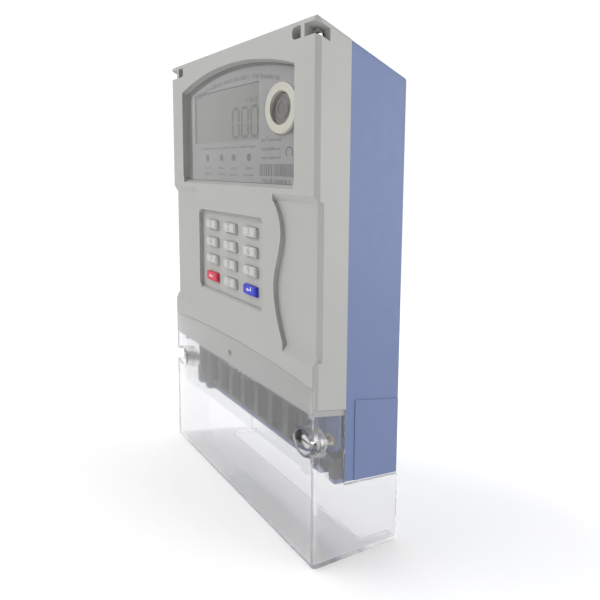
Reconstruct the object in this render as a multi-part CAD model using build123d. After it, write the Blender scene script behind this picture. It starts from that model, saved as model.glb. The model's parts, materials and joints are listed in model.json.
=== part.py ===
"""Three-phase keypad prepayment electricity meter, wall mounted.

Frame: millimetres, +Z up, +X to the right as seen from the front, the front faces -Y.
The origin is the middle of the wall face of the base.
"""
import math
import os

from build123d import *

# ---------------------------------------------------------------- overall sizes
CASE_W = 175.0            # width of the case
CASE_H = 266.0            # height of the base, without the terminal cover
CASE_D = 77.0             # depth from the wall to the front face
FRONT_D = 26.0            # depth of the grey front cover
WIRING_H = 44.0           # height of the base left bare below the front cover
HOOD_DROP = 49.0          # how far the terminal cover hangs below the base

# ---------------------------------------------------------------- walls and gaps
WALL = 2.5                # moulded wall of base and front cover
CLEAR_WALL = 2.0          # wall of the clear terminal cover
GAP = 0.3                 # clearance between fixed covers
CORNER_R = 3.0            # corner radius of the case outline
BASE_INSET = 0.5          # base side set in from the front cover side
STEP_DROP = 79.0          # top of the proud lower flank of the base, below mid height
STEP_D = 43.0             # depth of the proud lower flank
EDGE_BEVEL_X = 1.5        # bevel of the upright front edges, across
EDGE_BEVEL_Y = 3.5        # bevel of the upright front edges, along the side
TOP_BEVEL = 2.0
LIP_H = 4.5               # narrow lip of the front cover below its side walls

# ---------------------------------------------------------------- window, label and display
WINDOW_MARGIN = 18.25     # side margin of the window recess
WINDOW_TOP = 12.0         # crown of the window below the top
WINDOW_H = 78.0           # height of the window at its crown
WINDOW_ARCH = 11.0        # rise of the crowned top edge
WINDOW_DEPTH = 4.0        # window pane below the front face
WINDOW_BEVEL = 3.3        # sloping sill below the window
WINDOW_LEDGE = 3.0        # ledge that carries the pane
LEDGE_T = 1.5
WINDOW_CORNER_R = 2.5
PANE_T = 0.8
PANE_GAP = 0.15           # label behind the pane
LABEL_T = 0.8
LCD_W = 85.5
LCD_H = 37.0
LCD_LEFT = 12.75          # visible display from the left edge of the window
LCD_DROP = 13.0           # top of the display below the crown
LCD_BORDER = 1.5          # glass hidden behind the label, each side
LCD_GLASS_T = 2.8
BACKLIGHT_T = 4.0
LCD_FRAME_WALL = 2.0
PORT_R = 15.2             # optical port ring
PORT_HOLE_R = 10.0
PORT_FROM_RIGHT = 16.0    # port centre from the right edge of the window
PORT_DROP = 33.0          # port centre below the crown
PORT_RISE = 1.6           # ring proud of the pane
LENS_R = 2.5
LENS_PITCH = 6.6
LED_R = 2.4
LED_LEFT = (31.7, 51.7, 67.7, 86.7)   # indicator places from the left edge of the window
LED_RISE = 17.0           # indicators above the bottom of the window

# ---------------------------------------------------------------- keypad
KEY_W = 14.7
KEY_H = 6.8
KEY_PITCH_X = 24.75
KEY_PITCH_Z = 13.03
KEY_ROWS = 4
KEY_COLUMNS = 3
KEY_NAMES = ("1", "2", "3", "4", "5", "6", "7", "8", "9", "backspace", "0", "enter")
KEY_TRAVEL = 1.2
KEY_GAP = 0.25            # gap round a key in its hole
KEY_FLANGE = 1.1          # flange that keeps a key behind the cover
KEY_BEVEL = 1.0
KEY_SHY = 0.2             # key top below the front face
KEYPAD_MARGIN_X = 9.6
KEYPAD_MARGIN_Z = 6.8
KEYPAD_DEPTH = 3.0
KEYPAD_BEVEL = 3.0        # sloping sill below the keys
KEYPAD_R = 4.0
KEYPAD_LEFT = 2.2         # keypad centre left of the case centre
KEYPAD_RISE = 3.2         # keypad centre above the middle of the free front
KEY_STEM_R = 2.0
KEY_STEM_L = 4.0
MAT_T = 1.5
BOARD_T = 1.6

# ---------------------------------------------------------------- wavy side panel
WAVE_DEPTH = 3.0
WAVE_TOP_GAP = 10.0       # panel top below the window
WAVE_BOTTOM_GAP = 14.5    # panel bottom above the terminal cover
WAVE_LEFT = 33.5          # wave middle from the right edge of the case
WAVE_SWING = 3.4
WAVE_SILL = 5.5           # sloping sill at the foot of the panel
WAVE_BROW = 3.5           # slope at its head

# ---------------------------------------------------------------- sealing notches
NOTCH_W = 10.0
NOTCH_H = 6.8
NOTCH_DROP = 3.8
NOTCH_D = 9.6
SEAL_BAR = 3.0            # bar between notch and seal-wire hole
SEAL_HOLE_W = 7.4
SEAL_HOLE_R = 2.6         # rounded inner corners of the seal-wire hole
SEAL_WIRE_R = 1.0
NOTCH_SCREW_IN = 6.4      # cover screw axis from the side
PIN_R = 1.6               # locating pins under the lip
PIN_L = 4.0
PIN_IN = 8.5              # pin axis from the side
PIN_SHY = 7.0             # pin axis behind the front face
SENSOR_HOLE_R = 2.3
SENSOR_LEFT = 3.0
SENSOR_RISE = 8.3         # sensor hole above the lip

# ---------------------------------------------------------------- terminal cover
HOOD_ARC_RISE = 4.8       # crown of the cover's top edge
HOOD_OVERLAP = 16.0       # cover's top edge above the lip, at the sides
HOOD_BEVEL = 1.0          # bevel of the front lower edge
OUTLET_MARGIN = 9.0       # cable cut-out from each side
OUTLET_D = 28.0
OUTLET_R = 5.5
WELL_R = 8.9
WELL_WALL = 1.8
WELL_IN = 10.4            # sealing screw axis from the side
WELL_DROP = 19.0          # sealing screw axis below the lip
WELL_D = 12.0
WELL_FLOOR = 2.0
WELL_LEDGE = 4.0          # well floor behind the open side of the well
WELL_SLOT_H = 9.0

# ---------------------------------------------------------------- screws
SEAL_HEAD_R = 4.4
SEAL_HEAD_H = 6.5
SEAL_HEAD_SHY = 3.2       # head below the front face
SEAL_STANDOFF = 10.0      # bare bolt between the well and its insert
SEAL_SHANK_R = 2.5
SEAL_THREAD_R = 2.0
SEAL_THREAD_L = 14.0
RUNNING_GAP = 0.1
CLIP_T = 0.8
COVER_HEAD_R = 3.0
COVER_HEAD_H = 4.5
COVER_SHANK_R = 1.8
INSERT_WALL = 1.5
COVER_INSERT_WALL = 1.2
INSERT_L = 10.0
BOSS_WALL = 1.8

# ---------------------------------------------------------------- terminals
POLES = 8
POLE_PITCH = 16.5
BLOCK_SHY = 11.0          # terminal block front behind the front face
BLOCK_NOSE_H = 29.0
BLOCK_FLOOR_GAP = 0.3
CHANNEL_W = 11.0
CHANNEL_H = 22.0
CHANNEL_TOP = 6.0
CHANNEL_D = 29.0
LUG_H = 13.5
LUG_SHY = 8.0
CAGE_W = 12.0
CAGE_D = 12.0
CAGE_H = 36.0
CAGE_BACK = 13.0          # back of the cages from the wall face
WIRE_R = 4.5
CAGE_CROWN = 3.0
TERMINAL_SCREW_R = 3.0
TERMINAL_HEAD_R = 3.9
TERMINAL_HEAD_H = 3.0
TERMINAL_SCREW_PITCH = 10.0
BAR_W = 9.0
BAR_T = 2.5
NEUTRAL_RISE = 4.0        # neutral link above the shelf
SIGNAL_COUNT = 6
SIGNAL_PITCH = 6.0
SIGNAL_R = 1.8
SIGNAL_RISE = 1.5
TONGUE_SHY = 19.5         # toes of the base, at its lower corners, behind the front face
DECK_T = 2.0              # decks between the terminal block and the sides
DECK_R = 9.0
EAR_T = 1.6

# ---------------------------------------------------------------- wall fixings
WALL_HOLE_R = 2.6
WALL_HOLE_IN = 12.0
WALL_HOLE_RISE = 8.5
DRIVER_R = 4.0
HANGER_W = 30.0
HANGER_H = 46.0
HANGER_T = 1.3
HANGER_HOLE_R = 2.75
HANGER_LIP = 3.0
HANGER_LIP_T = 0.7
HANGER_GAP = 0.1
HANGER_SHY = 1.0          # stowed hanger below the top
HANGER_HOLE_DROP = 8.0
HANGER_CORNER_R = 6.0

# ---------------------------------------------------------------- electronics
BOARD_MARGIN = 4.0
BOARD_GAP = 2.4           # main board behind the keypad board
BOARD_BOSS_GAP = 1.5      # main board below the top screw bosses
BOARD_SHELF_GAP = 2.0     # main board above the shelf
BOARD_POST_R = 3.5
BOARD_POST_IN = 5.0
BOARD_SCREW_R = 1.5
BOARD_SCREW_BITE = 7.0
BOARD_HEAD_R = 2.8
BOARD_HEAD_H = 2.0
SPACER_R = 2.5
RIBBON_W = 16.0
RIBBON_T = 1.2
RELAY_RISE = 6.0          # relays above the current transformers
CHIP = 10.0
CHIP_T = 1.6
SUPPLY = (32.0, 26.0, 28.0)    # supply transformer: width, depth, height
CAN_R = 6.5
CAN_L = 22.0
VARISTOR = (4.4, 14.0, 12.0)   # surge varistor: width, depth, height
SUPERCAP_H = 8.0
BATTERY_R = 7.2
BATTERY_L = 26.0
BUZZER_R = 6.0
BUZZER_H = 7.0
SENSOR_W = 5.0
SENSOR_H = 4.0
RELAY_W = 30.0
RELAY_D = 30.0
RELAY_H = 38.0
RELAY_BACK = 6.0
CT_R = 11.0
CT_T = 9.0

# ---------------------------------------------------------------- derived planes
HALF_W = CASE_W / 2
TOP = CASE_H / 2
BOTTOM = -CASE_H / 2
FRONT = -CASE_D
SEAM = FRONT + FRONT_D
LIP_BOTTOM = BOTTOM + WIRING_H
SIDE_BOTTOM = LIP_BOTTOM + LIP_H
HOOD_TOP = LIP_BOTTOM + HOOD_OVERLAP
HOOD_CROWN = HOOD_TOP + HOOD_ARC_RISE
HOOD_BOTTOM = BOTTOM - HOOD_DROP
BASE_HALF = HALF_W - BASE_INSET
REBATE = CLEAR_WALL + GAP

WINDOW_HALF = HALF_W - WINDOW_MARGIN
WINDOW_CROWN = TOP - WINDOW_TOP
WINDOW_BOTTOM = WINDOW_CROWN - WINDOW_H
WINDOW_CROWN_R = (WINDOW_HALF ** 2 + WINDOW_ARCH ** 2) / (2 * WINDOW_ARCH)
PANE_FRONT = FRONT + WINDOW_DEPTH
LABEL_FRONT = PANE_FRONT + PANE_T + PANE_GAP
LEDGE_FRONT = LABEL_FRONT + LABEL_T
LEDGE_BACK = LEDGE_FRONT + LEDGE_T
LCD_X = -WINDOW_HALF + LCD_LEFT + LCD_W / 2
LCD_Z = WINDOW_CROWN - LCD_DROP - LCD_H / 2
PORT_X = WINDOW_HALF - PORT_FROM_RIGHT
PORT_Z = WINDOW_CROWN - PORT_DROP
LED_Z = WINDOW_BOTTOM + LED_RISE

FREE_MIDDLE = (WINDOW_BOTTOM + HOOD_CROWN) / 2
KEYPAD_X = -KEYPAD_LEFT
KEYPAD_Z = FREE_MIDDLE + KEYPAD_RISE
KEYPAD_W = (KEY_COLUMNS - 1) * KEY_PITCH_X + KEY_W + 2 * KEYPAD_MARGIN_X
KEYPAD_H = (KEY_ROWS - 1) * KEY_PITCH_Z + KEY_H + 2 * KEYPAD_MARGIN_Z
KEYPAD_FLOOR = FRONT + KEYPAD_DEPTH
KEYPAD_BACK = KEYPAD_FLOOR + WALL
FLANGE_FRONT = KEYPAD_BACK + GAP
FLANGE_BACK = FLANGE_FRONT + 1.0
STEM_END = FLANGE_BACK + KEY_STEM_L
DOME_TIP = STEM_END + KEY_TRAVEL + RUNNING_GAP
MAT_BACK = DOME_TIP + MAT_T
KEY_BOARD_BACK = MAT_BACK + BOARD_T
MAIN_FRONT = KEY_BOARD_BACK + BOARD_GAP
MAIN_BACK = MAIN_FRONT + BOARD_T

PIN_X = HALF_W - PIN_IN
PIN_Y = FRONT + PIN_SHY
WELL_X = HALF_W - WELL_IN
WELL_Z = LIP_BOTTOM - WELL_DROP
WELL_BACK = FRONT + WELL_D
SEAL_INSERT_FRONT = WELL_BACK + SEAL_STANDOFF
NOTCH_Z = TOP - NOTCH_DROP - NOTCH_H / 2
NOTCH_FLOOR = FRONT + NOTCH_D
COVER_SCREW_X = HALF_W - NOTCH_SCREW_IN
COVER_INSERT_FRONT = NOTCH_FLOOR + WALL + GAP

BLOCK_HALF = POLES * POLE_PITCH / 2
BLOCK_FRONT = FRONT + BLOCK_SHY
BLOCK_TOP = LIP_BOTTOM - 1.0
BLOCK_BOTTOM = BOTTOM + WALL + BLOCK_FLOOR_GAP
CAGE_FRONT = -CAGE_BACK - CAGE_D
CAGE_TOP = BLOCK_BOTTOM + CAGE_H
CHANNEL_Z = BLOCK_TOP - CHANNEL_TOP - CHANNEL_H / 2
CHANNEL_BACK = BLOCK_FRONT + CHANNEL_D
WIRE_Y = -CAGE_BACK - CAGE_D / 2
WALL_HOLE_X = HALF_W - WALL_HOLE_IN
WALL_HOLE_Z = BOTTOM + WALL_HOLE_RISE
SHELF_TOP = LIP_BOTTOM + WALL

COVER_INSERT_R = COVER_SHANK_R + COVER_INSERT_WALL
COVER_BOSS_R = COVER_INSERT_R + BOSS_WALL
SEAL_INSERT_R = SEAL_THREAD_R + RUNNING_GAP + INSERT_WALL
SEAL_BOSS_R = SEAL_INSERT_R + BOSS_WALL
BOARD_HALF = HALF_W - WALL - BOARD_MARGIN
BOARD_TOP = NOTCH_Z - COVER_BOSS_R - BOARD_BOSS_GAP
BOARD_BOTTOM = SHELF_TOP + BOARD_SHELF_GAP
HANGER_TOP = TOP - HANGER_SHY
HANGER_BACK = -HANGER_LIP_T - HANGER_GAP
HANGER_FRONT = HANGER_BACK - HANGER_T
CHANNEL_FLOOR = HANGER_FRONT - HANGER_GAP
DECK_LOW = BLOCK_BOTTOM + LUG_H + GAP
RELAY_BOTTOM = SHELF_TOP + CT_T + RELAY_RISE
NEUTRAL_CROSS = SHELF_TOP + NEUTRAL_RISE
LCD_GLASS_FRONT = LEDGE_FRONT
LCD_GLASS_BACK = LCD_GLASS_FRONT + LCD_GLASS_T
BACKLIGHT_BACK = LCD_GLASS_BACK + BACKLIGHT_T
POLE_X = [(i - (POLES - 1) / 2) * POLE_PITCH for i in range(POLES)]
SIDES = (-1, 1)


# ---------------------------------------------------------------- helpers
def span(x0, x1, y0, y1, z0, z1):
    """Box between two opposite corners."""
    return Pos((x0 + x1) / 2, (y0 + y1) / 2, (z0 + z1) / 2) * Box(x1 - x0, y1 - y0, z1 - z0)


def slab(outline, y_front, y_back):
    """Outline drawn in x and z, made solid from y_front back to y_back."""
    return Pos(0, y_back, 0) * extrude(Plane.XZ * outline, amount=y_back - y_front, dir=(0, -1, 0))


def rod(x, z, r, y_front, y_back):
    """Round bar along Y."""
    return slab(Pos(x, z) * Circle(r), y_front, y_back)


def post(x, y, r, z0, z1):
    """Round bar along Z."""
    return Pos(x, y, (z0 + z1) / 2) * Cylinder(r, z1 - z0)


def cross_rod(x0, x1, y, z, r):
    """Round bar along X."""
    return Pos((x0 + x1) / 2, y, z) * Rot(0, 90, 0) * Cylinder(r, x1 - x0)


def along_x(points, x0, x1):
    """Outline of (y, z) points made solid from x0 to x1."""
    face = Plane.YZ * Polygon(*points, align=None)
    return Pos(x0, 0, 0) * extrude(face, amount=x1 - x0, dir=(1, 0, 0))


def along_z(points, z0, z1):
    """Outline of (x, y) points made solid from z0 to z1."""
    face = Polygon(*points, align=None)
    return Pos(0, 0, z0) * extrude(face, amount=z1 - z0, dir=(0, 0, 1))


def round_plate(x, z, width, height, r, y_front, y_back):
    """Plate with rounded corners, facing Y."""
    return slab(Pos(x, z) * RectangleRounded(width, height, r), y_front, y_back)


def slotted(head, x, z, y_front, depth, width, length):
    """Cut a screwdriver slot across the front of a screw head."""
    return head - span(x - length, x + length, y_front - 1, y_front + depth, z - width / 2, z + width / 2)


def keep(name, *solids):
    """Write one named node; several solids make a group."""
    body = solids[0] if len(solids) == 1 else Compound(children=list(solids))
    export_step(body, os.path.join("parts", name + ".step"))


# ---------------------------------------------------------------- outlines
def window_outline(inset=0.0):
    """Window with a crowned top edge."""
    half = WINDOW_HALF - inset
    low = WINDOW_BOTTOM + inset
    crown = WINDOW_CROWN - inset
    shoulder = crown - (WINDOW_CROWN_R - math.sqrt(WINDOW_CROWN_R ** 2 - half ** 2))
    sides = Polyline((half, shoulder), (half, low), (-half, low), (-half, shoulder))
    top = ThreePointArc((-half, shoulder), (0, crown), (half, shoulder))
    face = make_face(sides + top)
    return fillet(face.vertices().sort_by(Axis.Y)[:2], WINDOW_CORNER_R)


def hood_outline(half, gap=0.0):
    """Front of the terminal cover, with its arched top edge."""
    side = HOOD_TOP + gap
    walls = Polyline((half, side), (half, HOOD_BOTTOM), (-half, HOOD_BOTTOM), (-half, side))
    arch = ThreePointArc((-half, side), (0, HOOD_CROWN + gap), (half, side))
    return make_face(walls + arch)


def wave_outline(side):
    """Recessed panel at one edge of the front, with a waved inner side."""
    top = WINDOW_BOTTOM - WAVE_TOP_GAP
    low = HOOD_CROWN + WAVE_BOTTOM_GAP
    height = top - low
    middle = HALF_W - WAVE_LEFT
    right = HALF_W + 1
    wave = Spline(
        (middle - 1.5 * WAVE_SWING, top),
        (middle + 0.6 * WAVE_SWING, top - 0.31 * height),
        (middle - 1.1 * WAVE_SWING, top - 0.57 * height),
        (middle + 0.4 * WAVE_SWING, top - 0.90 * height),
        (middle + 1.5 * WAVE_SWING, low),
    )
    rest = Polyline((middle + 1.5 * WAVE_SWING, low), (right, low), (right, top), (middle - 1.5 * WAVE_SWING, top))
    face = make_face(wave + rest)
    return face if side > 0 else mirror(face, about=Plane.YZ)


def wave_recess(side):
    """The panel's pocket, with its sloping head and foot and the bevel of its outer edge."""
    top = WINDOW_BOTTOM - WAVE_TOP_GAP
    low = HOOD_CROWN + WAVE_BOTTOM_GAP
    floor = FRONT + WAVE_DEPTH
    middle = HALF_W - WAVE_LEFT
    edge = side * HALF_W
    pocket = slab(wave_outline(side), FRONT - 1, floor)
    ends = sorted((side * (middle + 1.5 * WAVE_SWING), side * (HALF_W + 1)))
    pocket += along_x([(FRONT, low - WAVE_SILL), (floor, low), (floor, low + 1), (FRONT, low + 1)], *ends)
    ends = sorted((side * (middle - 1.5 * WAVE_SWING), side * (HALF_W + 1)))
    pocket += along_x([(FRONT, top + WAVE_BROW), (floor, top), (floor, top - 1), (FRONT, top - 1)], *ends)
    bevel = [(edge, floor), (edge - side * EDGE_BEVEL_X, floor), (edge, floor + EDGE_BEVEL_Y)]
    pocket += along_z(bevel, low - WAVE_SILL / 2, top + WAVE_BROW / 2)
    return pocket


def key_places():
    """Column, row and centre of each key, from the top left."""
    for row in range(KEY_ROWS):
        for column in range(KEY_COLUMNS):
            x = KEYPAD_X + (column - (KEY_COLUMNS - 1) / 2) * KEY_PITCH_X
            z = KEYPAD_Z - (row - (KEY_ROWS - 1) / 2) * KEY_PITCH_Z
            yield column, row, x, z


# ---------------------------------------------------------------- front cover
def front_cover():
    """Grey front shell with its recesses, seal notches and lip."""
    height = TOP - SIDE_BOTTOM
    face = Pos(0, SIDE_BOTTOM + height / 2) * Rectangle(CASE_W, height)
    face = fillet(face.vertices().sort_by(Axis.Y)[2:], CORNER_R)
    shell = slab(face, FRONT, SEAM)
    for side in SIDES:
        edge = side * HALF_W
        shell -= along_z([(edge, FRONT), (edge - side * EDGE_BEVEL_X, FRONT), (edge, FRONT + EDGE_BEVEL_Y)],
                         SIDE_BOTTOM - 1, TOP + 1)
    shell -= along_x([(FRONT, TOP - TOP_BEVEL), (FRONT, TOP), (FRONT + TOP_BEVEL, TOP)], -HALF_W, HALF_W)
    lip_half = HALF_W - REBATE
    shell += span(-lip_half, lip_half, FRONT + REBATE, SEAM, LIP_BOTTOM, SIDE_BOTTOM + WALL)
    shell -= slab(hood_outline(HALF_W + 1, GAP), FRONT - 1, FRONT + REBATE)

    inner = HALF_W - WALL
    shell -= span(-inner, inner, FRONT + WALL, SEAM + 1, HOOD_CROWN + WALL, TOP - WALL)
    shell -= span(-inner, inner, FRONT + REBATE + WALL, SEAM + 1, SIDE_BOTTOM + WALL, HOOD_CROWN + WALL + 1)
    lip_inner = lip_half - WALL
    shell -= span(-lip_inner, lip_inner, FRONT + REBATE + WALL, SEAM + 1, LIP_BOTTOM + WALL, SIDE_BOTTOM + WALL + 1)

    pads = span(-WINDOW_HALF - WALL, WINDOW_HALF + WALL, FRONT + WALL / 2, LEDGE_BACK,
                WINDOW_BOTTOM - WINDOW_BEVEL - WALL, TOP - WALL / 2)
    pads += round_plate(KEYPAD_X, KEYPAD_Z, KEYPAD_W + 2 * WALL, KEYPAD_H + 2 * WALL, KEYPAD_R + WALL,
                        FRONT + WALL / 2, KEYPAD_BACK)
    wave_inner = HALF_W - WAVE_LEFT - 2 * WAVE_SWING - WALL
    for side in SIDES:
        ends = sorted((side * wave_inner, side * (HALF_W - EDGE_BEVEL_X)))
        pads += span(ends[0], ends[1], FRONT + WALL / 2, FRONT + WAVE_DEPTH + WALL,
                     HOOD_CROWN + WAVE_BOTTOM_GAP - WAVE_SILL - WALL, WINDOW_BOTTOM - WAVE_TOP_GAP + WAVE_BROW + WALL)
    notch_inner = HALF_W - NOTCH_W - SEAL_BAR - SEAL_HOLE_W
    for side in SIDES:
        ends = sorted((side * (notch_inner - WALL), side * (HALF_W - WALL / 2)))
        pads += span(ends[0], ends[1], FRONT + WALL / 2, NOTCH_FLOOR + WALL,
                     NOTCH_Z - NOTCH_H / 2 - WALL, TOP - WALL / 2)
    shell += pads

    shell -= slab(window_outline(), FRONT - 1, LEDGE_FRONT)
    shell -= slab(window_outline(WINDOW_LEDGE), FRONT, LEDGE_BACK + 1)
    shell -= round_plate(KEYPAD_X, KEYPAD_Z, KEYPAD_W, KEYPAD_H, KEYPAD_R, FRONT - 1, KEYPAD_FLOOR)
    for _, _, x, z in key_places():
        shell -= round_plate(x, z, KEY_W + 2 * KEY_GAP, KEY_H + 2 * KEY_GAP, 0.8, FRONT, KEYPAD_BACK + 1)
    sill_half = WINDOW_HALF - 1.0
    shell -= along_x([(FRONT, WINDOW_BOTTOM - WINDOW_BEVEL), (PANE_FRONT, WINDOW_BOTTOM),
                      (FRONT, WINDOW_BOTTOM + 1)], -sill_half, sill_half)
    keypad_low = KEYPAD_Z - KEYPAD_H / 2
    keypad_sill = KEYPAD_W / 2 - KEYPAD_R / 2
    shell -= along_x([(FRONT, keypad_low - KEYPAD_BEVEL / 2), (KEYPAD_FLOOR, keypad_low + KEYPAD_BEVEL / 2),
                      (FRONT, keypad_low + KEYPAD_BEVEL)], KEYPAD_X - keypad_sill, KEYPAD_X + keypad_sill)
    shell -= rod(-SENSOR_LEFT, LIP_BOTTOM + SENSOR_RISE, SENSOR_HOLE_R, FRONT, SEAM)
    for side in SIDES:
        shell -= wave_recess(side)
        shell -= seal_notch(side)
        shell -= post(side * PIN_X, PIN_Y, PIN_R, LIP_BOTTOM - 1, LIP_BOTTOM + WALL + 1)
    keep("front_cover", shell)


def seal_notch(side):
    """Open corner notch, D-shaped seal-wire hole, wire drilling and screw hole."""
    low = NOTCH_Z - NOTCH_H / 2
    high = NOTCH_Z + NOTCH_H / 2
    bar_outer = HALF_W - NOTCH_W
    bar_inner = bar_outer - SEAL_BAR
    ends = sorted((side * bar_outer, side * (HALF_W + 1)))
    cut = span(ends[0], ends[1], FRONT - 1, NOTCH_FLOOR, low, high)
    ends = sorted((side * bar_inner, side * (bar_inner - SEAL_HOLE_W)))
    hole = span(ends[0], ends[1], FRONT - 1, NOTCH_FLOOR, low, high)
    rounded = hole.edges().filter_by(Axis.Y).group_by(Axis.X)[0 if side > 0 else -1]
    cut += fillet(rounded, SEAL_HOLE_R)
    wire = sorted((side * (bar_inner - 2), side * (bar_outer + 2)))
    cut += cross_rod(wire[0], wire[1], NOTCH_FLOOR - COVER_HEAD_H / 2, NOTCH_Z, SEAL_WIRE_R)
    cut += rod(side * COVER_SCREW_X, NOTCH_Z, COVER_SHANK_R + RUNNING_GAP, NOTCH_FLOOR - 1, NOTCH_FLOOR + WALL + 1)
    return cut


def locating_pins():
    """Two brass pins under the lip that locate the terminal cover."""
    pins = [post(side * PIN_X, PIN_Y, PIN_R, LIP_BOTTOM - PIN_L, LIP_BOTTOM + WALL) for side in SIDES]
    keep("locating_pins", *pins)


# ---------------------------------------------------------------- base
def board_posts():
    """Places of the four posts that carry the main board."""
    x = BOARD_HALF - BOARD_POST_IN
    return [(side * x, z) for side in SIDES for z in (BOARD_TOP - BOARD_POST_IN, BOARD_BOTTOM + BOARD_POST_IN)]


def base_shell():
    """Blue base tub with shelf, bosses, hanger channel and wire window."""
    outline = RectangleRounded(2 * BASE_HALF, CASE_H, CORNER_R)
    shell = slab(outline, SEAM, 0)
    shell = chamfer(shell.faces().sort_by(Axis.Y)[-1].edges(), 1.0)
    flank = span(-HALF_W, HALF_W, -STEP_D, -1.0, BOTTOM + 1.5, -STEP_DROP)
    flank = fillet(flank.edges().filter_by(Axis.Z), BASE_INSET * 0.9)
    flank = fillet(flank.edges().filter_by(Axis.X).group_by(Axis.Z)[-1], 0.5)
    shell += flank
    inner = BASE_HALF - WALL
    cavity = span(-inner, inner, SEAM - 1, -WALL, BOTTOM + WALL, TOP - WALL)
    shell -= cavity
    shell += span(-inner - 0.5, inner + 0.5, SEAM, -WALL / 2, LIP_BOTTOM, SHELF_TOP)
    shell += span(-HANGER_W / 2 - WALL, HANGER_W / 2 + WALL, CHANNEL_FLOOR - WALL, -WALL / 2,
                  HANGER_TOP - HANGER_H - 2 * WALL, TOP - WALL / 2)
    extras = []
    for side in SIDES:
        tongue = sorted((side * BLOCK_HALF, side * (inner - GAP)))
        toe = span(tongue[0], tongue[1], FRONT + TONGUE_SHY, SEAM + 1, BOTTOM, BOTTOM + WALL)
        extras.append(toe - span(side * WALL_HOLE_X - DRIVER_R, side * WALL_HOLE_X + DRIVER_R, FRONT, SEAM,
                                 BOTTOM - 1, BOTTOM + WALL + 1))
        extras.append(rod(side * WELL_X, WELL_Z, SEAL_BOSS_R, SEAL_INSERT_FRONT, -WALL / 2))
        boss = rod(side * COVER_SCREW_X, NOTCH_Z, COVER_BOSS_R, COVER_INSERT_FRONT, -WALL / 2)
        clear_x = HALF_W - WALL - GAP
        extras.append(boss & span(-clear_x, clear_x, FRONT, 0, 0, TOP - WALL - GAP))
        ear = sorted((side * (BLOCK_HALF + GAP), side * (BLOCK_HALF + GAP + EAR_T)))
        extras.append(span(ear[0], ear[1], BLOCK_FRONT + LUG_SHY, -WALL / 2, DECK_LOW, LIP_BOTTOM - GAP))
        deck = sorted((side * (BLOCK_HALF + GAP), side * (BASE_HALF - WALL - GAP)))
        plate = span(deck[0], deck[1], SEAL_INSERT_FRONT, SEAL_INSERT_FRONT + DECK_T, DECK_LOW, LIP_BOTTOM - GAP)
        corner = plate.edges().filter_by(Axis.Y).group_by(Axis.Z)[0].sort_by(Axis.X)[-1 if side > 0 else 0]
        extras.append(fillet(corner, min(DECK_R, 0.9 * (deck[1] - deck[0]))))
    for x, z in board_posts():
        extras.append(rod(x, z, BOARD_POST_R, MAIN_BACK, -WALL / 2))
    for extra in extras:
        shell += extra

    slot_half = BLOCK_HALF - 1.0
    shell -= span(-slot_half, slot_half, WIRE_Y - 4, WIRE_Y + 4, LIP_BOTTOM - 1, SHELF_TOP + 1)
    shell -= span(-slot_half, slot_half, CAGE_FRONT - 3, -CAGE_BACK + 5, BOTTOM - 1, BOTTOM + WALL + 1)
    shell -= span(-HANGER_W / 2 - HANGER_GAP, HANGER_W / 2 + HANGER_GAP, CHANNEL_FLOOR, -HANGER_LIP_T,
                  HANGER_TOP - HANGER_H - GAP, TOP + 1)
    shell -= span(-HANGER_W / 2 + HANGER_LIP, HANGER_W / 2 - HANGER_LIP, -HANGER_LIP_T - 1, 1,
                  HANGER_TOP - HANGER_H - GAP, TOP + 1)
    for side in SIDES:
        shell -= rod(side * WALL_HOLE_X, WALL_HOLE_Z, WALL_HOLE_R, -WALL - 1, 1)
        shell -= rod(side * WELL_X, WELL_Z, SEAL_INSERT_R, SEAL_INSERT_FRONT - 1, SEAL_INSERT_FRONT + INSERT_L)
        shell -= rod(side * WELL_X, WELL_Z, SEAL_THREAD_R + RUNNING_GAP,
                     SEAL_INSERT_FRONT, SEAL_INSERT_FRONT + SEAL_THREAD_L + 3)
        shell -= rod(side * COVER_SCREW_X, NOTCH_Z, COVER_INSERT_R,
                     COVER_INSERT_FRONT - 1, COVER_INSERT_FRONT + INSERT_L)
    for x, z in board_posts():
        shell -= rod(x, z, BOARD_SCREW_R, MAIN_BACK - 1, MAIN_BACK + 8)
    shell -= gasket_ring()
    keep("base_shell", shell)


def gasket_ring():
    """Sealing ring in the rim of the base, above the wiring space."""
    outer = BASE_HALF - 0.8
    inner = BASE_HALF - 1.8
    ring = span(-outer, outer, SEAM, SEAM + 1.0, LIP_BOTTOM + 0.8, TOP - 0.8)
    return ring - span(-inner, inner, SEAM - 1, SEAM + 2, LIP_BOTTOM + 1.8, TOP - 1.8)


def hanger():
    """Steel plate that slides up out of its channel to hang the meter."""
    plate = span(-HANGER_W / 2, HANGER_W / 2, HANGER_FRONT, HANGER_BACK, HANGER_TOP - HANGER_H, HANGER_TOP)
    plate = fillet(plate.edges().filter_by(Axis.Y).group_by(Axis.Z)[-1], HANGER_CORNER_R)
    plate -= rod(0, HANGER_TOP - HANGER_HOLE_DROP, HANGER_HOLE_R, HANGER_FRONT - 1, HANGER_BACK + 1)
    keep("hanger", plate)


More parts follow.
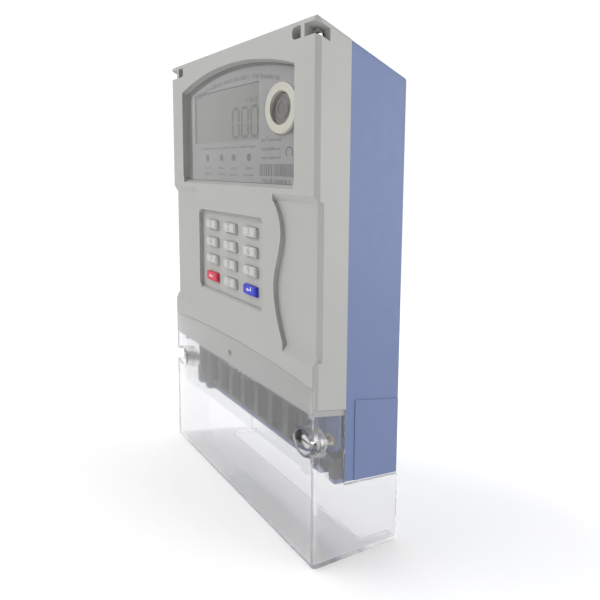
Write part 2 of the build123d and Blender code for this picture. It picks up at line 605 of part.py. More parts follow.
# ---------------------------------------------------------------- terminal cover and its screws
def terminal_cover():
    """Clear cover over the wiring, with a well for each sealing screw."""
    seam = SEAM - GAP
    side_top = SIDE_BOTTOM - GAP
    cover = slab(hood_outline(HALF_W), FRONT, FRONT + CLEAR_WALL)
    profile = [(FRONT, side_top), (seam, side_top), (seam, BOTTOM - GAP), (0, BOTTOM - GAP),
               (0, HOOD_BOTTOM), (FRONT, HOOD_BOTTOM)]
    for side in SIDES:
        ends = sorted((side * HALF_W, side * (HALF_W - CLEAR_WALL)))
        cover += along_x(profile, ends[0], ends[1])
    floor = span(-HALF_W, HALF_W, FRONT, 0, HOOD_BOTTOM, HOOD_BOTTOM + CLEAR_WALL)
    outlet_w = CASE_W - 2 * OUTLET_MARGIN
    outlet = span(-outlet_w / 2, outlet_w / 2, -OUTLET_D, 1, HOOD_BOTTOM - 1, HOOD_BOTTOM + CLEAR_WALL + 1)
    floor -= fillet(outlet.edges().filter_by(Axis.Z).group_by(Axis.Y)[0], OUTLET_R)
    cover += floor
    for side in SIDES:
        cover += rod(side * WELL_X, WELL_Z, WELL_R, FRONT, WELL_BACK)
    for side in SIDES:
        cover -= rod(side * WELL_X, WELL_Z, WELL_R - WELL_WALL, FRONT - 1, WELL_BACK - WELL_FLOOR)
        cover -= rod(side * WELL_X, WELL_Z, SEAL_SHANK_R + RUNNING_GAP, FRONT, WELL_BACK + 1)
        ends = sorted((side * WELL_X, side * (HALF_W + 1)))
        cover -= span(ends[0], ends[1], FRONT - 1, WELL_BACK - WELL_FLOOR - WELL_LEDGE,
                      WELL_Z - WELL_SLOT_H / 2, WELL_Z + WELL_SLOT_H / 2)
        edge = side * HALF_W
        cover -= along_z([(edge, FRONT), (edge - side * EDGE_BEVEL_X, FRONT), (edge, FRONT + EDGE_BEVEL_Y)],
                         HOOD_BOTTOM - 1, HOOD_CROWN + 1)
    cover -= along_x([(FRONT, HOOD_BOTTOM + HOOD_BEVEL), (FRONT, HOOD_BOTTOM), (FRONT + HOOD_BEVEL, HOOD_BOTTOM)],
                     -HALF_W, HALF_W)
    keep("terminal_cover", cover)


def seal_screw(side, name):
    """Captive sealing screw: slotted, cross-drilled head, plain shank and thread."""
    x = side * WELL_X
    head_front = FRONT + SEAL_HEAD_SHY
    head_back = head_front + SEAL_HEAD_H
    head = rod(x, WELL_Z, SEAL_HEAD_R, head_front, head_back)
    head = chamfer(head.faces().sort_by(Axis.Y)[0].edges(), 0.6)
    head = slotted(head, x, WELL_Z, head_front, 1.6, 1.4, SEAL_HEAD_R + 1)
    head -= cross_rod(x - SEAL_HEAD_R - 1, x + SEAL_HEAD_R + 1, head_front + 3.8, WELL_Z, SEAL_WIRE_R)
    thread_end = SEAL_INSERT_FRONT + SEAL_THREAD_L
    shank = rod(x, WELL_Z, SEAL_SHANK_R, head_back - 0.5, WELL_BACK + GAP)
    thread = rod(x, WELL_Z, SEAL_THREAD_R, WELL_BACK, thread_end)
    thread = chamfer(thread.faces().sort_by(Axis.Y)[-1].edges(), 0.6)
    keep("seal_screw_" + name, head + shank + thread)
    clip = rod(x, WELL_Z, SEAL_SHANK_R + 1.4, WELL_BACK + GAP, WELL_BACK + GAP + CLIP_T)
    clip -= rod(x, WELL_Z, SEAL_THREAD_R, WELL_BACK, WELL_BACK + GAP + CLIP_T + 1)
    keep("seal_clip_" + name, clip)


def seal_inserts():
    """Brass inserts that take the sealing screws."""
    tubes = []
    for side in SIDES:
        tube = rod(side * WELL_X, WELL_Z, SEAL_INSERT_R, SEAL_INSERT_FRONT, SEAL_INSERT_FRONT + INSERT_L)
        tubes.append(tube - rod(side * WELL_X, WELL_Z, SEAL_THREAD_R + RUNNING_GAP,
                                SEAL_INSERT_FRONT - 1, SEAL_INSERT_FRONT + INSERT_L + 1))
    keep("seal_inserts", *tubes)


def cover_screws():
    """Sealed screws in the corner notches, and the inserts they hold in."""
    screws = []
    inserts = []
    for side in SIDES:
        x = side * COVER_SCREW_X
        front = NOTCH_FLOOR - COVER_HEAD_H
        head = rod(x, NOTCH_Z, COVER_HEAD_R, front, NOTCH_FLOOR)
        head = slotted(head, x, NOTCH_Z, front, 1.2, 1.0, COVER_HEAD_R + 1)
        head -= cross_rod(x - COVER_HEAD_R - 1, x + COVER_HEAD_R + 1, front + 2.6, NOTCH_Z, SEAL_WIRE_R * 0.8)
        end = COVER_INSERT_FRONT + INSERT_L - 1
        screws.append(head + rod(x, NOTCH_Z, COVER_SHANK_R, NOTCH_FLOOR - 0.5, end))
        insert = rod(x, NOTCH_Z, COVER_INSERT_R, COVER_INSERT_FRONT, COVER_INSERT_FRONT + INSERT_L)
        inserts.append(insert - rod(x, NOTCH_Z, COVER_SHANK_R, COVER_INSERT_FRONT - 1, end + 3))
    keep("cover_screws", *screws)
    keep("cover_inserts", *inserts)


# ---------------------------------------------------------------- terminals
def terminal_block():
    """Dark moulding: a comb of screw channels in front, fins between the cages."""
    slope_start = BLOCK_TOP - BLOCK_NOSE_H
    profile = [(BLOCK_FRONT, BLOCK_TOP), (CAGE_FRONT, BLOCK_TOP), (CAGE_FRONT, BLOCK_BOTTOM),
               (SEAM + 1, BLOCK_BOTTOM), (BLOCK_FRONT, slope_start)]
    block = along_x(profile, -BLOCK_HALF, BLOCK_HALF)
    fin_half = (POLE_PITCH - CAGE_W) / 2 - GAP
    for i in range(POLES + 1):
        x = (i - POLES / 2) * POLE_PITCH
        low = max(x - fin_half, -BLOCK_HALF)
        high = min(x + fin_half, BLOCK_HALF)
        block += span(low, high, CAGE_FRONT - 1, -CAGE_BACK, BLOCK_BOTTOM, CAGE_TOP)
    for side in SIDES:
        ends = sorted((side * (BLOCK_HALF - 1), side * (BASE_HALF - WALL - GAP)))
        lug = span(ends[0], ends[1], BLOCK_FRONT + LUG_SHY, CAGE_FRONT, BLOCK_BOTTOM, BLOCK_BOTTOM + LUG_H)
        lug -= span(side * WALL_HOLE_X - DRIVER_R, side * WALL_HOLE_X + DRIVER_R, FRONT, 0,
                    BLOCK_BOTTOM - 1, WALL_HOLE_Z)
        lug -= rod(side * WALL_HOLE_X, WALL_HOLE_Z, DRIVER_R, FRONT, 0)
        block += lug
    for side in SIDES:
        block -= rod(side * WELL_X, WELL_Z, SEAL_BOSS_R + GAP, FRONT, 0)
    for x in POLE_X:
        block -= span(x - CHANNEL_W / 2, x + CHANNEL_W / 2, BLOCK_FRONT - 1, CHANNEL_BACK,
                      CHANNEL_Z - CHANNEL_H / 2, CHANNEL_Z + CHANNEL_H / 2)
        for z in screw_heights():
            block -= rod(x, z, TERMINAL_SCREW_R + RUNNING_GAP, CHANNEL_BACK - 1, CAGE_FRONT + 0.01)
    keep("terminal_block", block)


def screw_heights():
    """Heights of the two screws of each terminal."""
    return (CHANNEL_Z - TERMINAL_SCREW_PITCH / 2, CHANNEL_Z + TERMINAL_SCREW_PITCH / 2)


def terminal_cages():
    """Brass wire cages, open below, with two screws each, and their screws."""
    cages = []
    screws = []
    for x in POLE_X:
        cage = span(x - CAGE_W / 2, x + CAGE_W / 2, CAGE_FRONT, -CAGE_BACK, BLOCK_BOTTOM, CAGE_TOP)
        cage -= post(x, WIRE_Y, WIRE_R, BLOCK_BOTTOM - 1, CAGE_TOP - CAGE_CROWN)
        for z in screw_heights():
            cage -= rod(x, z, TERMINAL_SCREW_R, CAGE_FRONT - 1, WIRE_Y)
            head_front = CHANNEL_BACK - TERMINAL_HEAD_H
            head = rod(x, z, TERMINAL_HEAD_R, head_front, CHANNEL_BACK)
            head = slotted(head, x, z, head_front, 1.2, 1.0, TERMINAL_HEAD_R + 1)
            head -= span(x - 0.5, x + 0.5, head_front - 1, head_front + 1.2, z - 2.8, z + 2.8)
            shank = rod(x, z, TERMINAL_SCREW_R, CHANNEL_BACK - 0.5, WIRE_Y - WIRE_R)
            screws.append(head + shank)
        cages.append(cage)
    keep("terminal_cages", *cages)
    keep("terminal_screws", *screws)


def terminal_backing():
    """Insulating plate between the cages and the wall side of the base."""
    plate = span(-BLOCK_HALF, BLOCK_HALF, -CAGE_BACK, -WALL, BLOCK_BOTTOM, CAGE_TOP)
    keep("terminal_backing", plate)


def bars():
    """Copper bars from the cages up to the relays, and the neutral link."""
    phases = []
    for x in POLE_X[:-2]:
        phases.append(span(x - BAR_W / 2, x + BAR_W / 2, WIRE_Y - BAR_T / 2, WIRE_Y + BAR_T / 2,
                           CAGE_TOP, RELAY_BOTTOM))
    keep("phase_bars", *phases)
    left, right = POLE_X[-2:]
    link = span(left - BAR_W / 2, right + BAR_W / 2, WIRE_Y - BAR_T / 2, WIRE_Y + BAR_T / 2,
                NEUTRAL_CROSS, NEUTRAL_CROSS + BAR_W)
    for x in (left, right):
        link += span(x - BAR_W / 2, x + BAR_W / 2, WIRE_Y - BAR_T / 2, WIRE_Y + BAR_T / 2,
                     CAGE_TOP, NEUTRAL_CROSS + 1)
    keep("neutral_bar", link)


def relays_and_transformers():
    """A latching relay and a current transformer for each phase."""
    relays = []
    rings = []
    for phase in range(3):
        left, right = POLE_X[2 * phase: 2 * phase + 2]
        middle = (left + right) / 2
        case = span(middle - RELAY_W / 2, middle + RELAY_W / 2, -RELAY_BACK - RELAY_D, -RELAY_BACK,
                    RELAY_BOTTOM, RELAY_BOTTOM + RELAY_H)
        relays.append(chamfer(case.edges().filter_by(Axis.Y), 1.0))
        ring = post(left, WIRE_Y, CT_R, SHELF_TOP + 3, SHELF_TOP + 3 + CT_T)
        ring -= post(left, WIRE_Y, BAR_W / 2 + 1.0, SHELF_TOP + 2, SHELF_TOP + 4 + CT_T)
        rings.append(ring)
    keep("latching_relays", *relays)
    keep("current_transformers", *rings)


def signal_terminals():
    """Small signal terminal screws along the top of the block's nose."""
    screws = []
    for i in range(SIGNAL_COUNT):
        x = (i - (SIGNAL_COUNT - 1) / 2) * SIGNAL_PITCH
        screw = rod(x, BLOCK_TOP - CHANNEL_TOP / 2, SIGNAL_R, BLOCK_FRONT - SIGNAL_RISE, BLOCK_FRONT)
        screws.append(slotted(screw, x, BLOCK_TOP - CHANNEL_TOP / 2, BLOCK_FRONT - SIGNAL_RISE, 0.6, 0.6, 3))
    keep("signal_screws", *screws)


# ---------------------------------------------------------------- window, display and port
def window_parts():
    """Clear pane over the printed label, both pierced for the optical port."""
    port = Pos(PORT_X, PORT_Z) * Circle(PORT_R + 0.2)
    pane = slab(window_outline(GAP) - port, PANE_FRONT, PANE_FRONT + PANE_T)
    keep("window_pane", pane)
    label = window_outline(GAP) - port
    label -= Pos(LCD_X, LCD_Z) * Rectangle(LCD_W, LCD_H)
    for left in LED_LEFT:
        label -= Pos(-WINDOW_HALF + left, LED_Z) * Circle(LED_R + 0.1)
    keep("label_plate", slab(label, LABEL_FRONT, LEDGE_FRONT))


def display():
    """LCD glass, its backlight and the frame that stands on the main board."""
    width = LCD_W + 2 * LCD_BORDER
    height = LCD_H + 2 * LCD_BORDER
    x0, x1 = LCD_X - width / 2, LCD_X + width / 2
    z0, z1 = LCD_Z - height / 2, LCD_Z + height / 2
    keep("lcd_glass", span(x0, x1, LCD_GLASS_FRONT, LCD_GLASS_BACK, z0, z1))
    keep("lcd_backlight", span(x0 + 1, x1 - 1, LCD_GLASS_BACK, BACKLIGHT_BACK, z0 + 1, z1 - 1))
    wall = LCD_FRAME_WALL
    frame = span(x0 - wall, x1 + wall, LEDGE_BACK + RUNNING_GAP, MAIN_FRONT, z0 - wall, z1 + wall)
    frame -= span(x0 - 0.1, x1 + 0.1, LCD_GLASS_FRONT, LCD_GLASS_BACK, z0 - 0.1, z1 + 0.1)
    frame -= span(x0 + 0.9, x1 - 0.9, LCD_GLASS_BACK - 1, BACKLIGHT_BACK, z0 + 0.9, z1 - 0.9)
    frame -= span(x0 + 3, x1 - 3, BACKLIGHT_BACK - 1, MAIN_FRONT + 1, z0 + 3, z1 - 3)
    keep("lcd_frame", frame)


def optical_port():
    """Steel ring, dark filter disc, tube and the infrared pair behind it."""
    front = PANE_FRONT - PORT_RISE
    ring = rod(PORT_X, PORT_Z, PORT_R, front, LEDGE_FRONT)
    ring = fillet(ring.faces().sort_by(Axis.Y)[0].edges(), 0.7)
    ring -= rod(PORT_X, PORT_Z, PORT_HOLE_R, front - 1, LEDGE_FRONT + 1)
    keep("port_ring", ring)
    keep("port_disc", rod(PORT_X, PORT_Z, PORT_HOLE_R - 0.1, LEDGE_FRONT - 1.2, LEDGE_FRONT))
    tube = rod(PORT_X, PORT_Z, PORT_HOLE_R + 2.0, LEDGE_FRONT, MAIN_FRONT)
    tube -= rod(PORT_X, PORT_Z, PORT_HOLE_R - 2.0, LEDGE_FRONT - 1, MAIN_FRONT + 1)
    keep("port_tube", tube)
    pair = [rod(PORT_X + side * LENS_PITCH / 2, PORT_Z, LENS_R, LEDGE_FRONT + GAP, MAIN_FRONT) for side in SIDES]
    keep("port_infrared_pair", *pair)


def indicators():
    """Four light guides that stand on the main board and show through the label."""
    guides = [rod(-WINDOW_HALF + left, LED_Z, LED_R, LABEL_FRONT, MAIN_FRONT) for left in LED_LEFT]
    keep("indicator_leds", *guides)


# ---------------------------------------------------------------- keypad
def keys():
    """Twelve keys, each held behind the cover by its flange."""
    for (_, _, x, z), name in zip(key_places(), KEY_NAMES):
        cap = round_plate(x, z, KEY_W, KEY_H, KEY_BEVEL + 0.3, FRONT + KEY_SHY, FLANGE_FRONT)
        cap = chamfer(cap.faces().sort_by(Axis.Y)[0].edges(), KEY_BEVEL)
        flange = span(x - KEY_W / 2 - KEY_FLANGE, x + KEY_W / 2 + KEY_FLANGE, FLANGE_FRONT, FLANGE_BACK,
                      z - KEY_H / 2 - KEY_FLANGE, z + KEY_H / 2 + KEY_FLANGE)
        stem = rod(x, z, KEY_STEM_R, FLANGE_BACK - 0.5, STEM_END)
        keep("key_" + name, cap + flange + stem)


def keypad_inside():
    """Keypad board with the rubber mat in front and the spacers and ribbon behind."""
    left, right = KEYPAD_X - KEYPAD_W / 2, KEYPAD_X + KEYPAD_W / 2
    low, high = KEYPAD_Z - KEYPAD_H / 2, KEYPAD_Z + KEYPAD_H / 2
    keep("keypad_board", span(left - 3, right + 3, MAT_BACK, KEY_BOARD_BACK, low, high))
    mat = span(left, right, MAT_BACK - 0.7, MAT_BACK, low + 2, high - 2)
    for _, _, x, z in key_places():
        mat += rod(x, z, KEY_STEM_R + 1.5, DOME_TIP, MAT_BACK)
    keep("keypad_mat", mat)
    spacers = [rod(x, z, SPACER_R, KEY_BOARD_BACK, MAIN_FRONT)
               for x in (left + 1, right - 1) for z in (low + 4, high - 4)]
    keep("board_spacers", *spacers)
    keep("keypad_ribbon", span(KEYPAD_X - RIBBON_W / 2, KEYPAD_X + RIBBON_W / 2, KEY_BOARD_BACK, MAIN_FRONT,
                               KEYPAD_Z - RIBBON_T / 2, KEYPAD_Z + RIBBON_T / 2))


# ---------------------------------------------------------------- electronics
def boards():
    """Main board, its screws and the parts soldered to it."""
    board = span(-BOARD_HALF, BOARD_HALF, MAIN_FRONT, MAIN_BACK, BOARD_BOTTOM, BOARD_TOP)
    screws = []
    for x, z in board_posts():
        board -= rod(x, z, BOARD_SCREW_R + RUNNING_GAP, MAIN_FRONT - 1, MAIN_BACK + 1)
        head = rod(x, z, BOARD_HEAD_R, MAIN_FRONT - BOARD_HEAD_H, MAIN_FRONT)
        screws.append(head + rod(x, z, BOARD_SCREW_R, MAIN_FRONT - 0.5, MAIN_BACK + BOARD_SCREW_BITE))
    keep("main_board", board)
    keep("board_screws", *screws)

    chips = [span(x, x + CHIP, MAIN_BACK, MAIN_BACK + CHIP_T, BOARD_TOP - drop, BOARD_TOP - drop + CHIP)
             for x, drop in ((-5, 30), (12, 30), (-5, 48))]
    keep("board_chips", *chips)
    width, depth, height = SUPPLY
    supply = span(-34 - width, -34, MAIN_BACK, MAIN_BACK + depth, BOARD_TOP - 20 - height, BOARD_TOP - 20)
    keep("supply_transformer", chamfer(supply.edges().filter_by(Axis.Y), 1.5))
    keep("supply_capacitors", *[rod(x, BOARD_TOP - 60, CAN_R, MAIN_BACK, MAIN_BACK + CAN_L) for x in (-60, -44)])
    width, depth, height = VARISTOR
    keep("surge_varistors", *[span(x - width / 2, x + width / 2, MAIN_BACK, MAIN_BACK + depth,
                                   BOARD_TOP - 56 - height, BOARD_TOP - 56) for x in (-26, -18, -10)])
    keep("super_capacitor", rod(40, BOARD_TOP - 24, CAN_R, MAIN_BACK, MAIN_BACK + SUPERCAP_H))
    keep("backup_battery", post(60, MAIN_BACK + BATTERY_R + GAP, BATTERY_R,
                                BOARD_TOP - 22 - BATTERY_L, BOARD_TOP - 22))
    keep("buzzer", rod(40, BOARD_TOP - 44, BUZZER_R, MAIN_BACK, MAIN_BACK + BUZZER_H))
    sensor = span(-SENSOR_LEFT - SENSOR_W / 2, -SENSOR_LEFT + SENSOR_W / 2,
                  FRONT + REBATE + WALL + GAP, MAIN_FRONT,
                  LIP_BOTTOM + SENSOR_RISE - SENSOR_H / 2, LIP_BOTTOM + SENSOR_RISE + SENSOR_H / 2)
    keep("cover_open_sensor", sensor)


def main():
    """Build and write every node."""
    os.makedirs("parts", exist_ok=True)
    base_shell()
    front_cover()
    keep("cover_gasket", gasket_ring())
    locating_pins()
    hanger()
    terminal_cover()
    for side, name in ((-1, "left"), (1, "right")):
        seal_screw(side, name)
    seal_inserts()
    cover_screws()
    terminal_block()
    terminal_cages()
    terminal_backing()
    bars()
    relays_and_transformers()
    signal_terminals()
    window_parts()
    display()
    optical_port()
    indicators()
    keys()
    keypad_inside()
    boards()


main()
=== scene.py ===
import json
import math
import random

import bmesh
import bpy
from mathutils import Matrix, Vector


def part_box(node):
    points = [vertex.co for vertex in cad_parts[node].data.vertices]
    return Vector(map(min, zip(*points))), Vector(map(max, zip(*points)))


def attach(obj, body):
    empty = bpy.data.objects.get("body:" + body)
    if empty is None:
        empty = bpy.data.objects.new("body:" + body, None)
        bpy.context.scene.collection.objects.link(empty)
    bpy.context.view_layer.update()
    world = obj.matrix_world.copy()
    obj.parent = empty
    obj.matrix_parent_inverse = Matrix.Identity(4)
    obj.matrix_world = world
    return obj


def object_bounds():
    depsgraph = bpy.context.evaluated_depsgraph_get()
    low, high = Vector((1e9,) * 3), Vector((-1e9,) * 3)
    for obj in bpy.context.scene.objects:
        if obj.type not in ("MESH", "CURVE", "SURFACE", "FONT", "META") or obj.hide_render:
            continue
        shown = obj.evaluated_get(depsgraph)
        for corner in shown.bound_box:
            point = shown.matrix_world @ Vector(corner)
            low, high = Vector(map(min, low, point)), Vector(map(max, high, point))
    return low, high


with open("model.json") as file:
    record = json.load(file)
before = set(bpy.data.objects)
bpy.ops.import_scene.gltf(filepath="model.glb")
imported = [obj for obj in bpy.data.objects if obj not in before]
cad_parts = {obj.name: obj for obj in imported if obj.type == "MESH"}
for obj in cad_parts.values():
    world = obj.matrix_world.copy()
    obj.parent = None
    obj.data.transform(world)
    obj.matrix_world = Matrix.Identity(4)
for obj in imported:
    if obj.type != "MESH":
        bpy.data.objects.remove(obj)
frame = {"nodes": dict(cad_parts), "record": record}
cad_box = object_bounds()

MM = 0.001
CASE = "case"


# ---------------------------------------------------------------- camera
CAMERA_AZIMUTH = math.radians(49.09)
CAMERA_ELEVATION = math.radians(5.19)
CAMERA_ROLL = math.radians(0.40)
CAMERA_SKEW = math.radians(13.38)
CAMERA_PLACE = Vector((266.2, -238.2, 3.0)) * MM
CAMERA_LENS = 25.93
CAMERA_SHIFT = (-0.0096, -0.0079)
CAMERA_SQUEEZE = 0.992        # heights in the camera's own space, against a plain camera's
CAMERA_SENSOR = 36            # width, mm
CAMERA_CLIP = (0.01, 50)      # nearest and farthest seen, m


def make_camera():
    """Camera whose picture leans: uprights stay upright while level lines climb by the skew."""
    azimuth, elevation = CAMERA_AZIMUTH, CAMERA_ELEVATION
    back = Vector((math.sin(azimuth) * math.cos(elevation),
                   -math.cos(azimuth) * math.cos(elevation),
                   math.sin(elevation)))
    level = Vector((math.cos(azimuth), math.sin(azimuth), 0))
    rise = back.cross(level)
    right = math.cos(CAMERA_ROLL) * level + math.sin(CAMERA_ROLL) * rise
    up = math.cos(CAMERA_ROLL) * rise - math.sin(CAMERA_ROLL) * level
    turn = Matrix((right, up, back)).transposed().to_4x4()
    lean = Matrix(((math.cos(CAMERA_SKEW), 0, 0),
                   (math.sin(CAMERA_SKEW), CAMERA_SQUEEZE, 0),
                   (0, 0, 1))).to_4x4()
    data = bpy.data.cameras.new("camera")
    data.lens = CAMERA_LENS
    data.sensor_width = CAMERA_SENSOR
    data.shift_x, data.shift_y = CAMERA_SHIFT
    data.clip_start, data.clip_end = CAMERA_CLIP
    camera = bpy.data.objects.new("camera", data)
    holder = bpy.data.objects.new("camera_holder", None)
    for item in (camera, holder):
        bpy.context.scene.collection.objects.link(item)
    camera.parent = holder
    camera.matrix_parent_inverse = Matrix.Translation(CAMERA_PLACE) @ turn @ lean
    camera.matrix_basis = Matrix.Identity(4)
    bpy.context.scene.camera = camera


make_camera()


# ---------------------------------------------------------------- materials
def srgb(red, green, blue):
    """A colour given as 0-255 screen values, as linear light."""
    def lift(value):
        value /= 255
        return value / 12.92 if value <= 0.04045 else ((value + 0.055) / 1.055) ** 2.4
    return (lift(red), lift(green), lift(blue), 1.0)


def start_material(name):
    """A material with only its shader and object-space coordinates."""
    material = bpy.data.materials.new(name)
    material.use_nodes = True
    tree = material.node_tree
    shader = tree.nodes["Principled BSDF"]
    place = tree.nodes.new("ShaderNodeTexCoord")
    return material, tree, shader, place.outputs["Object"]


def noise(tree, where, size, detail=2.0, stretch=None):
    """Noise whose features are about size metres across."""
    node = tree.nodes.new("ShaderNodeTexNoise")
    node.inputs["Scale"].default_value = 1.0 / size
    node.inputs["Detail"].default_value = detail
    if stretch:
        mapping = tree.nodes.new("ShaderNodeMapping")
        mapping.inputs["Scale"].default_value = stretch
        tree.links.new(where, mapping.inputs["Vector"])
        where = mapping.outputs["Vector"]
    tree.links.new(where, node.inputs["Vector"])
    return node.outputs["Fac"]


def ramp(tree, source, low, high, start=0.3, end=0.7):
    """Two colours across a stretch of the source."""
    node = tree.nodes.new("ShaderNodeValToRGB")
    node.color_ramp.elements[0].position = start
    node.color_ramp.elements[1].position = end
    node.color_ramp.elements[0].color = low
    node.color_ramp.elements[1].color = high
    tree.links.new(source, node.inputs["Fac"])
    return node.outputs["Color"]


def between(tree, source, low, high):
    """The source's 0-1 spread over low to high."""
    node = tree.nodes.new("ShaderNodeMapRange")
    node.inputs["To Min"].default_value = low
    node.inputs["To Max"].default_value = high
    tree.links.new(source, node.inputs["Value"])
    return node.outputs["Result"]


def bump(tree, shader, height, strength, depth):
    """Small relief, depth metres high."""
    node = tree.nodes.new("ShaderNodeBump")
    node.inputs["Strength"].default_value = strength
    node.inputs["Distance"].default_value = depth
    tree.links.new(height, node.inputs["Height"])
    tree.links.new(node.outputs["Normal"], shader.inputs["Normal"])


def shade(colour, factor):
    """The colour made darker or lighter."""
    return (colour[0] * factor, colour[1] * factor, colour[2] * factor, 1.0)


CLOUD = 0.03                  # breadth of the faint mottling on plastic, m
GLOSS_PATCH = 0.008           # breadth of the patches of uneven gloss on plastic, m
PLASTIC_GLOSS = (-0.06, 0.08)
PLASTIC_RELIEF = 0.5
PLASTIC_SPECULAR = 0.45
COAT_ROUGH = 0.25


def moulded(name, colour, rough=0.45, grain=0.0006, relief=0.00003, mottle=0.03, coat=0.0):
    """Moulded plastic: spark-eroded grain, faint mottling and uneven gloss."""
    material, tree, shader, where = start_material(name)
    cloud = noise(tree, where, CLOUD, 4.0)
    tint = ramp(tree, cloud, shade(colour, 1 - mottle), shade(colour, 1 + mottle))
    tree.links.new(tint, shader.inputs["Base Color"])
    fine = noise(tree, where, grain, 3.0)
    patches = noise(tree, where, GLOSS_PATCH, 3.0)
    gloss = between(tree, patches, rough + PLASTIC_GLOSS[0], rough + PLASTIC_GLOSS[1])
    tree.links.new(gloss, shader.inputs["Roughness"])
    bump(tree, shader, fine, PLASTIC_RELIEF, relief)
    shader.inputs["Specular IOR Level"].default_value = PLASTIC_SPECULAR
    shader.inputs["Coat Weight"].default_value = coat
    shader.inputs["Coat Roughness"].default_value = COAT_ROUGH
    return material


TARNISH = 0.006               # breadth of the patches of tarnish on metal, m
METAL_GLOSS = (-0.1, 0.15)
METAL_RELIEF = 0.25
METAL_MARK_DEPTH = 0.00002


def metal(name, colour, rough=0.25, stretch=(1, 1, 1), grain=0.0004, worn=0.1):
    """Metal with machining marks and slight tarnish."""
    material, tree, shader, where = start_material(name)
    cloud = noise(tree, where, TARNISH, 4.0)
    tint = ramp(tree, cloud, shade(colour, 1 - worn), shade(colour, 1 + worn / 2))
    tree.links.new(tint, shader.inputs["Base Color"])
    marks = noise(tree, where, grain, 2.0, stretch)
    gloss = between(tree, marks, rough + METAL_GLOSS[0], rough + METAL_GLOSS[1])
    tree.links.new(gloss, shader.inputs["Roughness"])
    bump(tree, shader, marks, METAL_RELIEF, METAL_MARK_DEPTH)
    shader.inputs["Metallic"].default_value = 1.0
    return material


FLOW = 0.02                   # breadth of the flow lines in clear sheet, m
SCUFF = 0.004                 # breadth of the duller patches on clear sheet, m
SCUFF_ROUGH = 0.04
FLOW_SHADE = 0.985
FLOW_RELIEF = 0.1
FLOW_DEPTH = 0.0002


def clear(name, tint, rough=0.03, ior=1.49, haze=0.0, body=1.0):
    """Clear moulded sheet with faint flow lines.

    haze is how milky it is, and body how much it bends and mirrors.
    """
    material, tree, shader, where = start_material(name)
    flow = noise(tree, where, FLOW, 2.0)
    tree.links.new(ramp(tree, flow, shade(tint, FLOW_SHADE), tint), shader.inputs["Base Color"])
    scuffs = noise(tree, where, SCUFF, 3.0)
    tree.links.new(between(tree, scuffs, rough, rough + SCUFF_ROUGH), shader.inputs["Roughness"])
    bump(tree, shader, flow, FLOW_RELIEF, FLOW_DEPTH)
    shader.inputs["Transmission Weight"].default_value = 1.0 - haze
    shader.inputs["Alpha"].default_value = body
    shader.inputs["IOR"].default_value = ior
    return material


TRACK_SCALE = 160             # brick cells to the metre
SOLDER_MASK = ((0.01, 0.09, 0.035, 1), (0.012, 0.11, 0.045, 1))
TRACK = (0.03, 0.2, 0.09, 1)
BOARD_PATCH = 0.005           # breadth of the patches of uneven gloss on a board, m
BOARD_ROUGH = (0.3, 0.45)


def circuit(name):
    """Green board with paler tracks."""
    material, tree, shader, where = start_material(name)
    brick = tree.nodes.new("ShaderNodeTexBrick")
    brick.inputs["Scale"].default_value = TRACK_SCALE
    brick.inputs["Color1"].default_value = SOLDER_MASK[0]
    brick.inputs["Color2"].default_value = SOLDER_MASK[1]
    brick.inputs["Mortar"].default_value = TRACK
    turn = tree.nodes.new("ShaderNodeMapping")
    turn.inputs["Rotation"].default_value = (math.pi / 2, 0, 0)
    tree.links.new(where, turn.inputs["Vector"])
    tree.links.new(turn.outputs["Vector"], brick.inputs["Vector"])
    tree.links.new(brick.outputs["Color"], shader.inputs["Base Color"])
    gloss = between(tree, noise(tree, where, BOARD_PATCH), *BOARD_ROUGH)
    tree.links.new(gloss, shader.inputs["Roughness"])
    return material


